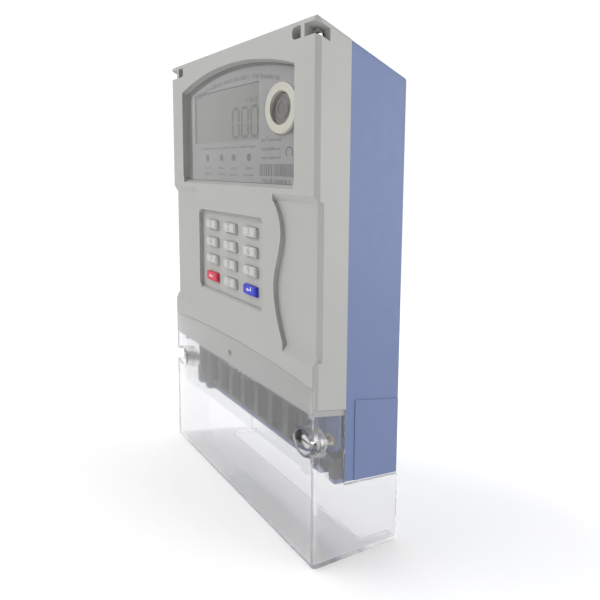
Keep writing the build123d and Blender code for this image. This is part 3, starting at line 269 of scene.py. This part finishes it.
FINISH = {
    "blue_housing": moulded("blue_plastic", srgb(108, 124, 166), 0.5, mottle=0.02),
    "grey_housing": moulded("grey_plastic", srgb(177, 177, 174), 0.5, mottle=0.012),
    "clear_cover": clear("clear_polycarbonate", (0.96, 0.96, 0.965, 1), haze=0.02, body=0.82),
    "clear_window": clear("clear_pane", (0.96, 0.96, 0.96, 1), 0.02),
    "printed_label": moulded("label_film", srgb(160, 160, 160), 0.4, 0.0009, 0.00001, 0.02),
    "display_glass": moulded("display", srgb(126, 129, 121), 0.3, 0.0004, 0.000004, 0.05, coat=0.6),
    "backlight": moulded("diffuser", srgb(225, 228, 220), 0.5),
    "light_guide": moulded("light_guide", srgb(80, 77, 77), 0.25, coat=0.5),
    "white_key": moulded("white_key", srgb(196, 195, 191), 0.4, 0.0004, 0.00001, 0.01),
    "red_key": moulded("red_key", srgb(216, 54, 80), 0.4, 0.0004, 0.00001, 0.02),
    "blue_key": moulded("blue_key", srgb(46, 60, 200), 0.4, 0.0004, 0.00001, 0.02),
    "mat_rubber": moulded("silicone", srgb(150, 152, 150), 0.7),
    "gasket_rubber": moulded("foam_rubber", srgb(40, 40, 40), 0.85, 0.0004, 0.0001, 0.1),
    "ivory_ring": moulded("ivory_enamel", srgb(190, 188, 176), 0.35, 0.0008, 0.00001, 0.02, coat=0.4),
    "port_filter": moulded("infrared_filter", srgb(92, 90, 88), 0.15, coat=0.8),
    "black_plastic": moulded("black_moulding", srgb(42, 42, 44), 0.5),
    "dark_moulding": moulded("terminal_moulding", srgb(86, 88, 90), 0.5, 0.0008, 0.00006, 0.06),
    "steel": metal("nickel_steel", (0.62, 0.61, 0.6, 1), 0.2, (1, 0.1, 1)),
    "zinc_steel": metal("zinc_steel", (0.5, 0.51, 0.53, 1), 0.35, (1, 1, 0.1)),
    "brass": metal("brass", (0.72, 0.52, 0.2, 1), 0.28),
    "copper": metal("copper", (0.75, 0.36, 0.2, 1), 0.35, (1, 1, 0.1)),
    "board": circuit("circuit_board"),
    "component": moulded("component_epoxy", srgb(50, 50, 54), 0.45),
    "relay_case": moulded("relay_case", srgb(46, 58, 80), 0.4),
    "capacitor_can": metal("capacitor_can", (0.6, 0.6, 0.62, 1), 0.35),
    "ribbon": moulded("ribbon", srgb(190, 190, 186), 0.5),
}


def dress_cad():
    """Give every CAD node the finish of its material slot."""
    for part in frame["record"]["subparts"]:
        target = frame["nodes"][part["node"]]
        material = FINISH[part["material_slot"]]
        if not target.data.materials:
            target.data.materials.append(material)
        for index in range(len(target.material_slots)):
            target.material_slots[index].material = material


dress_cad()


# ---------------------------------------------------------------- pieces
def add_piece(name, mesh, material, body):
    """A mesh in the shared frame as a piece that rides on a body."""
    piece = bpy.data.objects.new(name, mesh)
    bpy.context.scene.collection.objects.link(piece)
    mesh.materials.clear()
    mesh.materials.append(material)
    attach(piece, body)
    return piece


def prism(shape, outline, y_front, y_back):
    """Add an outline of (x, z) points, made solid between two depths, to a bmesh."""
    front = [shape.verts.new((x, y_front, z)) for x, z in outline]
    back = [shape.verts.new((x, y_back, z)) for x, z in outline]
    count = len(outline)
    shape.faces.new(front)
    shape.faces.new(list(reversed(back)))
    for i in range(count):
        j = (i + 1) % count
        shape.faces.new((front[j], front[i], back[i], back[j]))


def finished_mesh(shape, name):
    """The bmesh as a mesh whose faces all point outwards."""
    bmesh.ops.recalc_face_normals(shape, faces=shape.faces)
    mesh = bpy.data.meshes.new(name)
    shape.to_mesh(mesh)
    shape.free()
    return mesh


def prisms(name, outlines, y_front, y_back):
    """One mesh of solid outlines between two depths."""
    shape = bmesh.new()
    for outline in outlines:
        prism(shape, outline, y_front, y_back)
    return finished_mesh(shape, name)


def upright_box(left, right, low, high):
    """The outline of a level rectangle."""
    return [(left, low), (right, low), (right, high), (left, high)]


def ink(name, colour, rough=0.45):
    """Printing ink with slightly uneven cover."""
    return moulded(name, colour, rough, 0.0003, 0.000004, 0.08)


# ---------------------------------------------------------------- places, from the CAD nodes
WELD = 0.01 * MM              # corners closer than this are one corner


def islands(node):
    """The boxes of a node's separate solids, left to right, as (lowest corner, highest corner)."""
    shape = bmesh.new()
    shape.from_mesh(frame["nodes"][node].data)
    bmesh.ops.remove_doubles(shape, verts=shape.verts, dist=WELD)
    left, found = set(shape.verts), []
    while left:
        group, todo = [], [left.pop()]
        while todo:
            vertex = todo.pop()
            group.append(vertex.co.copy())
            for edge in vertex.link_edges:
                other = edge.other_vert(vertex)
                if other in left:
                    left.discard(other)
                    todo.append(other)
        found.append((Vector(min(p[i] for p in group) for i in range(3)),
                      Vector(max(p[i] for p in group) for i in range(3))))
    shape.free()
    return sorted(found, key=lambda box: box[0].x)


def middle(box):
    """The middle of a box."""
    return (box[0] + box[1]) / 2


INK_RISE = 0.03 * MM          # how far print stands off its surface
INK_ROOT = 0.05 * MM          # how far print reaches into it

PANE_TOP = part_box("window_pane")[1].z
LABEL_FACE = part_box("label_plate")[0].y
glass_low, glass_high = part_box("lcd_glass")
disc_low, disc_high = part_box("port_disc")
LED_PLACES = [middle(box) for box in islands("indicator_leds")]


# ---------------------------------------------------------------- greeked print
# A greeked letter is one or two uprights and a level bar. Its sizes are shares of the row's height.
LETTER_WIDTHS = (0.32, 0.6)
LETTER_HEIGHTS = (0.68, 0.68, 0.72, 1.0)
LETTER_STROKE = 0.17
LETTER_GAP = 0.2
BAR_LEVELS = (0.0, 0.45, 0.85)    # foot of the level bar up the letter
TWO_UPRIGHTS = 0.7                # how often a letter has two
WORD_GAP = 0.45
ROW_END = 0.4                     # no letter starts this near the end of its row
FIRST_WORD = (4, 8)               # fewest and most letters
LATER_WORDS = (3, 9)


def greeked_row(x0, x1, z, height, dice, slope=None):
    """Outlines that read as a line of small type without spelling anything."""
    outlines = []
    x = x0
    stroke = height * LETTER_STROKE
    letters_left = dice.randint(*FIRST_WORD)
    while x < x1 - height * ROW_END:
        width = height * dice.uniform(*LETTER_WIDTHS)
        tall = height * dice.choice(LETTER_HEIGHTS)
        base = z if slope is None else slope(x + width / 2)
        if dice.random() < TWO_UPRIGHTS:
            uprights = (x, x + width - stroke)
        else:
            uprights = (x + width / 2 - stroke / 2,)
        for left in uprights:
            outlines.append(upright_box(left, left + stroke, base, base + tall))
        level = base + tall * dice.choice(BAR_LEVELS)
        outlines.append(upright_box(x, x + width, level, level + stroke))
        x += width + height * LETTER_GAP
        letters_left -= 1
        if letters_left == 0:
            x += height * WORD_GAP
            letters_left = dice.randint(*LATER_WORDS)
    return outlines


def print_on_label(name, outlines, material):
    """Print on the label under the window, as one piece."""
    mesh = prisms(name, outlines, LABEL_FACE - INK_RISE, LABEL_FACE + INK_ROOT)
    return add_piece(name, mesh, material, CASE)


PALE_INK = ink("pale_grey_ink", srgb(98, 98, 102))
DARK_INK = ink("dark_grey_ink", srgb(84, 86, 90))

TITLE_SPAN = (-52 * MM, 52 * MM)
TITLE_HEIGHT = 3.4 * MM
TITLE_DROP = 9.5 * MM          # foot of the title below the crown of the window
CROWN_R = 223.5 * MM           # radius of the window's crowned top edge


def crown_line(x):
    """Foot of the title, running with the crowned top edge of the window."""
    return PANE_TOP - TITLE_DROP - (CROWN_R - math.sqrt(CROWN_R ** 2 - x ** 2))


def title():
    """One row of large type that follows the crown of the window."""
    dice = random.Random(11)
    rows = greeked_row(*TITLE_SPAN, 0, TITLE_HEIGHT, dice, crown_line)
    print_on_label("print_title", rows, PALE_INK)


CAPTION_HEIGHT = 1.7 * MM
CAPTION_RISE = 6.2 * MM        # captions above the indicators
CAPTION_REACH = 9 * MM         # the upper row, past the outer indicators
CAPTION_DROPS = (8.0 * MM, 12.6 * MM)
CAPTION_HALF = (4.2 * MM, 5.6 * MM)


def captions():
    """One caption row over the indicators and two short rows under each of them."""
    dice = random.Random(5)
    first, last = LED_PLACES[0], LED_PLACES[-1]
    rows = greeked_row(first.x - CAPTION_REACH, last.x + CAPTION_REACH, first.z + CAPTION_RISE,
                       CAPTION_HEIGHT, dice)
    for place in LED_PLACES:
        for drop, half in zip(CAPTION_DROPS, CAPTION_HALF):
            rows += greeked_row(place.x - half, place.x + half, place.z - drop, CAPTION_HEIGHT, dice)
    print_on_label("print_captions", rows, PALE_INK)


RATING_LEFT = 31.5 * MM
RATING_RIGHT = 51.5 * MM
RATING_ROWS = (69.5 * MM, 64.0 * MM, 58.5 * MM)
RATING_HEIGHT = 2.0 * MM


def rating_lines():
    """Three short rows to the right of the display."""
    dice = random.Random(8)
    rows = []
    for z in RATING_ROWS:
        rows += greeked_row(RATING_LEFT, RATING_RIGHT, z, RATING_HEIGHT, dice)
    print_on_label("print_ratings", rows, PALE_INK)


BARCODE = (29.0 * MM, 65.0 * MM, 48.0 * MM, 55.5 * MM)    # left, right, low, high
BARCODE_UNIT = 0.36 * MM
BARCODE_BARS = (1, 1, 2, 3)    # units
BARCODE_GAPS = (1, 1, 2)       # units
SERIAL_HEIGHT = 3.2 * MM
SERIAL_DROP = 4.2 * MM
SERIAL_INSET = 3 * MM


def barcode():
    """Bars of one to three units that carry no number, over one greeked row."""
    dice = random.Random(3)
    left, right, low, high = BARCODE
    bars = []
    x = left
    while x < right - max(BARCODE_BARS) * BARCODE_UNIT:
        width = BARCODE_UNIT * dice.choice(BARCODE_BARS)
        bars.append(upright_box(x, x + width, low, high))
        x += width + BARCODE_UNIT * dice.choice(BARCODE_GAPS)
    bars += greeked_row(left + SERIAL_INSET, right - SERIAL_INSET, low - SERIAL_DROP, SERIAL_HEIGHT, dice)
    print_on_label("print_barcode", bars, DARK_INK)


def ring_mesh(name, centre, outer, inner, y_front, y_back, count=48, start=0.0, sweep=2 * math.pi):
    """A flat closed ring, or part of one, lying square to the depth."""
    shape = bmesh.new()
    whole = sweep > 2 * math.pi - 1e-6
    section = ((inner, y_front), (outer, y_front), (outer, y_back), (inner, y_back))
    stations = []
    for i in range(count if whole else count + 1):
        turn = start + sweep * i / count
        across, up = math.cos(turn), math.sin(turn)
        stations.append([shape.verts.new((centre[0] + r * across, y, centre[1] + r * up))
                         for r, y in section])
    links = len(stations) if whole else len(stations) - 1
    for i in range(links):
        here, there = stations[i], stations[(i + 1) % len(stations)]
        for k in range(4):
            shape.faces.new((here[k], here[(k + 1) % 4], there[(k + 1) % 4], there[k]))
    if not whole:
        shape.faces.new(stations[0])
        shape.faces.new(list(reversed(stations[-1])))
    return finished_mesh(shape, name)


MARK_CENTRE = (59.5 * MM, 62.5 * MM)
MARK_R = 3.4 * MM
MARK_INNER_R = 2.6 * MM
MARK_START = math.radians(-50)
MARK_SWEEP = math.radians(280)
MARK_SIDES = 40
DOT_PLACES = ((37.1 * MM, 72.0 * MM), (62.1 * MM, 73.5 * MM))
DOT_R = 0.65 * MM
DOT_SIDES = 16


def round_outline(x, z, radius, sides):
    """A circle as straight sides."""
    turns = [2 * math.pi * i / sides for i in range(sides)]
    return [(x + radius * math.cos(turn), z + radius * math.sin(turn)) for turn in turns]


def label_marks():
    """A generic round mark and the two small dots beside the port."""
    mark = ring_mesh("print_mark", MARK_CENTRE, MARK_R, MARK_INNER_R, LABEL_FACE - INK_RISE,
                     LABEL_FACE + INK_ROOT, MARK_SIDES, MARK_START, MARK_SWEEP)
    add_piece("print_mark", mark, DARK_INK, CASE)
    dots = [round_outline(x, z, DOT_R, DOT_SIDES) for x, z in DOT_PLACES]
    print_on_label("print_dots", dots, DARK_INK)


title()
captions()
rating_lines()
barcode()
label_marks()


# ---------------------------------------------------------------- display digits
SEGMENT = {"top": (0, 2), "bottom": (0, 0), "upper_left": (0, 1), "upper_right": (1, 1),
           "lower_left": (0, 0), "lower_right": (1, 0)}    # column and row of each lit segment
DIGIT_W = 7.6 * MM
DIGIT_H = 19.0 * MM
DIGIT_STEP = 11.2 * MM
DIGIT_STROKE = 2.0 * MM
DIGIT_GAP = 0.35 * MM
DIGITS = 3
LCD_BORDER = 1.5 * MM          # glass hidden by the label, all round
DIGIT_RIGHT = 2.4 * MM         # last digit from the right edge of the visible glass
DIGIT_FOOT = 3.0 * MM          # feet of the digits above the lower edge of the visible glass
POINT_HALF = 0.7 * MM
UNIT_ROW_W = 14 * MM
UNIT_ROW_H = 3.0 * MM
UNIT_ROW_RISE = 3.2 * MM       # above the digits


def level_bar(x, z, length, stroke):
    """A level segment with pointed ends, centred on x, z."""
    half, thick = length / 2, stroke / 2
    return [(x - half, z), (x - half + thick, z - thick), (x + half - thick, z - thick), (x + half, z),
            (x + half - thick, z + thick), (x - half + thick, z + thick)]


def upright_bar(x, z, length, stroke):
    """An upright segment with pointed ends, centred on x, z."""
    half, thick = length / 2, stroke / 2
    return [(x, z - half), (x + thick, z - half + thick), (x + thick, z + half - thick), (x, z + half),
            (x - thick, z + half - thick), (x - thick, z - half + thick)]


def display_zero(x, z, width, height, stroke):
    """Outlines of a seven-segment nought whose lower left corner is at x, z."""
    half = height / 2
    outlines = []
    for part, (column, row) in SEGMENT.items():
        if part in ("top", "bottom"):
            outlines.append(level_bar(x + width / 2, z + row * half, width - 2 * DIGIT_GAP, stroke))
        else:
            centre = z + (row + 0.5) * half
            outlines.append(upright_bar(x + column * width, centre, half - 2 * DIGIT_GAP, stroke))
    return outlines


def display_figures():
    """Three large figures at the lower right of the display, with a small unit row above them."""
    right = glass_high.x - LCD_BORDER - DIGIT_RIGHT
    foot = glass_low.z + LCD_BORDER + DIGIT_FOOT
    outlines = []
    for i in range(DIGITS):
        left = right - DIGIT_W - (DIGITS - 1 - i) * DIGIT_STEP
        outlines += display_zero(left, foot, DIGIT_W, DIGIT_H, DIGIT_STROKE)
    point = right - DIGIT_W - DIGIT_STEP - (DIGIT_STEP - DIGIT_W) / 2
    outlines.append(upright_box(point - POINT_HALF, point + POINT_HALF,
                                foot - POINT_HALF, foot + POINT_HALF))
    unit_row = foot + DIGIT_H + UNIT_ROW_RISE
    outlines += greeked_row(right - UNIT_ROW_W, right, unit_row, UNIT_ROW_H, random.Random(21))
    mesh = prisms("display_figures", outlines, glass_low.y - INK_RISE, glass_low.y + INK_ROOT)
    dark = ink("display_figures", srgb(84, 88, 84), 0.3)
    add_piece("display_figures", mesh, dark, CASE)


display_figures()


# ---------------------------------------------------------------- optical port
# name, outer radius as a share of the window's, width
PORT_STEPS = (("port_step_outer", 0.9, 0.7 * MM), ("port_step_inner", 0.52, 0.5 * MM))
PORT_STEP_RISE = 0.35 * MM
PORT_STEP_ROOT = 0.1 * MM
PORT_STEP_ROUND = 0.15 * MM
PORT_STEP_SIDES = 64


def port_steps():
    """Glossy raised rings, the moulded steps of the infrared window."""
    middle_point = middle((disc_low, disc_high))
    centre = (middle_point.x, middle_point.z)
    radius = (disc_high.x - disc_low.x) / 2
    front, back = disc_low.y - PORT_STEP_RISE, disc_low.y + PORT_STEP_ROOT
    gloss = moulded("port_gloss", srgb(120, 118, 116), 0.08, 0.001, 0.000002, 0.02, coat=1.0)
    for name, share, width in PORT_STEPS:
        outer = radius * share
        mesh = ring_mesh(name, centre, outer, outer - width, front, back, PORT_STEP_SIDES)
        piece = add_piece(name, mesh, gloss, CASE)
        rounding = piece.modifiers.new("rounding", "BEVEL")
        rounding.width = PORT_STEP_ROUND
        rounding.segments = 2


port_steps()


# ---------------------------------------------------------------- key legends
LEGEND_SIZE = 6.5 * MM
LEGEND_WELD = 0.001 * MM       # corners closer than this are one corner
ARROW_KEYS = ("backspace", "enter")
ARROW_SIZE = 5.5 * MM
ARROW_SHAFT = 0.07             # half the shaft's thickness over the arrow's length
ARROW_HEAD = 0.4               # middle of the arrow to the back of its head, over half the length
ARROW_HEAD_HALF = 0.5          # half the head's height over half the length
ARROW_HOOK = 0.8               # top of the hook over half the length


def figure_mesh(name, text, centre, size, y_face):
    """A figure in the built-in face, as a thin closed mesh facing the front."""
    curve = bpy.data.curves.new(name, "FONT")
    curve.body = text
    curve.size = size
    curve.extrude = (INK_RISE + INK_ROOT) / 2
    curve.resolution_u = 4
    curve.align_x = "CENTER"
    curve.align_y = "CENTER"
    holder = bpy.data.objects.new(name, curve)
    bpy.context.scene.collection.objects.link(holder)
    bpy.context.view_layer.update()
    solid = holder.evaluated_get(bpy.context.evaluated_depsgraph_get())
    mesh = bpy.data.meshes.new_from_object(solid)
    bpy.data.objects.remove(holder)
    shape = bmesh.new()
    shape.from_mesh(mesh)
    bmesh.ops.remove_doubles(shape, verts=shape.verts, dist=LEGEND_WELD)
    bmesh.ops.recalc_face_normals(shape, faces=shape.faces)
    shape.to_mesh(mesh)
    shape.free()
    mesh.transform(Matrix.Rotation(math.radians(90), 4, "X"))
    depth = y_face + (INK_ROOT - INK_RISE) / 2
    mesh.transform(Matrix.Translation((centre.x, depth, centre.z)))
    mesh.name = name
    return mesh


def arrow(centre, size, hooked):
    """A left-pointing arrow, with a rising hook at its tail when hooked."""
    x, z = centre.x, centre.z
    half, thick = size / 2, size * ARROW_SHAFT
    neck, barb = x - half * ARROW_HEAD, half * ARROW_HEAD_HALF
    outlines = [[(x - half, z), (neck, z - barb), (neck, z + barb)],
                upright_box(neck, x + half, z - thick, z + thick)]
    if hooked:
        outlines.append(upright_box(x + half - 2 * thick, x + half, z + thick, z + half * ARROW_HOOK))
    return outlines


def key_legends():
    """Figures on the white keys and arrows on the red and blue ones."""
    grey = ink("legend_grey", srgb(140, 140, 142))
    white = ink("legend_white", srgb(235, 232, 236))
    for name in sorted(n for n in frame["nodes"] if n.startswith("key_")):
        low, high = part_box(name)
        centre = middle((low, high))
        mark = name.removeprefix("key_")
        piece_name = "legend_" + mark
        if mark in ARROW_KEYS:
            outlines = arrow(centre, ARROW_SIZE, mark == "enter")
            mesh = prisms(piece_name, outlines, low.y - INK_RISE, low.y + INK_ROOT)
            add_piece(piece_name, mesh, white, name)
        else:
            mesh = figure_mesh(piece_name, mark, centre, LEGEND_SIZE, low.y)
            add_piece(piece_name, mesh, grey, name)


key_legends()


# ---------------------------------------------------------------- light and floor
DIM_SIDE = Vector((0.76, -0.62, 0.2)).normalized()    # the side of the room that sends least light
DIM_FROM, DIM_TO = 0.0, 0.85   # where the light starts to fall off and where it is least, towards that side
DIM_LEVEL = 0.12
SEEN_LEVEL = 1.05
WHITE = (1, 1, 1, 1)
FLOOR_DROP = 0.6 * MM          # keeps the floor from sharing a plane with the cover's foot
FLOOR_GLOW = 0.2
FLOOR_R = 12.0
FLOOR_SIDES = 96


def surroundings():
    """White to look at, or through clear plastic; as light, bright except on the room's dim side."""
    world = bpy.data.worlds.new("studio")
    world.use_nodes = True
    tree = world.node_tree
    seen = tree.nodes["Background"]
    seen.inputs["Color"].default_value = WHITE
    seen.inputs["Strength"].default_value = SEEN_LEVEL
    place = tree.nodes.new("ShaderNodeTexCoord")
    towards = tree.nodes.new("ShaderNodeVectorMath")
    towards.operation = "DOT_PRODUCT"
    towards.inputs[1].default_value = DIM_SIDE
    tree.links.new(place.outputs["Generated"], towards.inputs[0])
    fade = tree.nodes.new("ShaderNodeValToRGB")
    fade.color_ramp.elements[0].position = DIM_FROM
    fade.color_ramp.elements[0].color = WHITE
    fade.color_ramp.elements[1].position = DIM_TO
    fade.color_ramp.elements[1].color = (DIM_LEVEL, DIM_LEVEL, DIM_LEVEL, 1)
    tree.links.new(towards.outputs["Value"], fade.inputs["Fac"])
    cast = tree.nodes.new("ShaderNodeBackground")
    tree.links.new(fade.outputs["Color"], cast.inputs["Color"])
    cast.inputs["Strength"].default_value = 1.0
    path = tree.nodes.new("ShaderNodeLightPath")
    plain = tree.nodes.new("ShaderNodeMath")
    plain.operation = "MAXIMUM"
    tree.links.new(path.outputs["Is Camera Ray"], plain.inputs[0])
    tree.links.new(path.outputs["Is Transmission Ray"], plain.inputs[1])
    mix = tree.nodes.new("ShaderNodeMixShader")
    tree.links.new(plain.outputs["Value"], mix.inputs["Fac"])
    tree.links.new(cast.outputs["Background"], mix.inputs[1])
    tree.links.new(seen.outputs["Background"], mix.inputs[2])
    tree.links.new(mix.outputs["Shader"], tree.nodes["World Output"].inputs["Surface"])
    bpy.context.scene.world = world
    bpy.context.scene.view_settings.view_transform = "Standard"


LAMPS = {"lamp_left": (Vector((-0.5, -1.0, 0.9)), 1.0),
         "lamp_right": (Vector((0.8, 0.7, 0.15)), 1.3)}    # towards the lamp, power
LAMP_SPREAD = math.radians(38)


def lamps():
    """Wide soft lamps at the front left and the back right."""
    for name, (side, power) in LAMPS.items():
        data = bpy.data.lights.new(name, "SUN")
        data.energy = power
        data.angle = LAMP_SPREAD
        lamp = bpy.data.objects.new(name, data)
        lamp.rotation_euler = side.to_track_quat("Z", "Y").to_euler()
        bpy.context.scene.collection.objects.link(lamp)


def floor():
    """A plain pale disc under the meter, faintly lit from within."""
    shape = bmesh.new()
    bmesh.ops.create_circle(shape, cap_ends=True, radius=FLOOR_R, segments=FLOOR_SIDES)
    mesh = bpy.data.meshes.new("floor")
    shape.to_mesh(mesh)
    shape.free()
    piece = bpy.data.objects.new("floor", mesh)
    piece.location.z = cad_box[0].z - FLOOR_DROP
    paper = moulded("pale_paper", srgb(252, 252, 252), 0.8, 0.001, 0.00001, 0.002)
    glow = paper.node_tree.nodes["Principled BSDF"]
    glow.inputs["Emission Color"].default_value = WHITE
    glow.inputs["Emission Strength"].default_value = FLOOR_GLOW
    mesh.materials.append(paper)
    bpy.context.scene.collection.objects.link(piece)


surroundings()
lamps()
floor()
